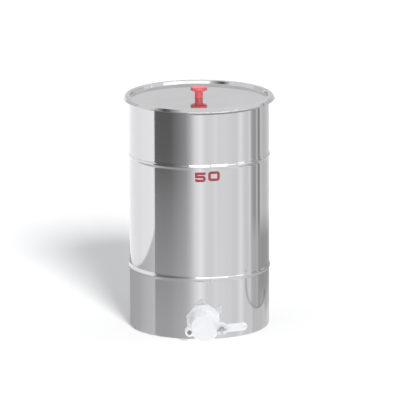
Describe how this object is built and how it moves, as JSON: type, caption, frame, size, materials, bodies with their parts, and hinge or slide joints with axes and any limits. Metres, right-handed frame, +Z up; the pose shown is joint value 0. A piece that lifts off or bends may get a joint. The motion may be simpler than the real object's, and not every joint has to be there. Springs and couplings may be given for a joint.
{
  "type": "honey settling tank",
  "caption": "Polished steel drum with swaged beads, a slip-over lid with a red knob, and a nylon flap gate low on its front for drawing off settled honey.",
  "frame": {"origin": "centre of the flat underside of the base", "axes": "+Z up along the tank's axis, the gate faces -Y, +X to the right seen from the front"},
  "size_m": [0.3244, 0.3971, 0.521],
  "materials": {
    "polished_steel": "bright polished stainless steel sheet",
    "steel_fastener": "plain stainless steel",
    "white_nylon": "moulded white nylon, slight sheen",
    "red_plastic": "glossy moulded plastic",
    "rubber": "soft white silicone rubber, food grade",
    "brass": "turned brass"
  },
  "bodies": {
    "tank": {"tank_shell": "polished_steel", "tank_base": "polished_steel", "gate_body": "white_nylon", "outer_gasket": "rubber", "inner_gasket": "rubber", "back_nut": "white_nylon", "face_seal": "rubber", "pivot_screw": "steel_fastener", "pivot_washer": "steel_fastener", "pivot_spring_washer": "steel_fastener", "pivot_nut": "steel_fastener", "lock_stud": "steel_fastener"},
    "lid": {"lid": "polished_steel", "lid_knob": "red_plastic", "knob_insert": "brass", "knob_washer": "steel_fastener", "knob_screw": "steel_fastener"},
    "flap": {"gate_flap": "white_nylon"},
    "lock_washer": {"lock_washer": "steel_fastener"},
    "wing_nut": {"lock_wing_nut": "steel_fastener"}
  },
  "joints": [
    {"name": "lid_lift", "type": "slide", "parent": "tank", "child": "lid", "axis": [0, 0, 1], "range_m": [0, 0.3]},
    {"name": "flap_swing", "type": "hinge", "parent": "tank", "child": "flap", "pos_m": [-0.03262, -0.2136, 0.03333], "axis": [0, -1, 0], "range_deg": [0, 115]},
    {"name": "lock_nut_travel", "type": "slide", "parent": "tank", "child": "lock_washer", "axis": [0, -1, 0], "range_m": [0, 0.003]},
    {"name": "lock_nut_turn", "type": "hinge", "parent": "lock_washer", "child": "wing_nut", "pos_m": [0.03596, -0.2225, 0.03994], "axis": [0, -1, 0], "range_deg": [0, 720]}
  ],
  "couplings": [
    {"joint": "lock_nut_travel", "follows": "lock_nut_turn", "m_per_rad": 0.00015915}
  ]
}
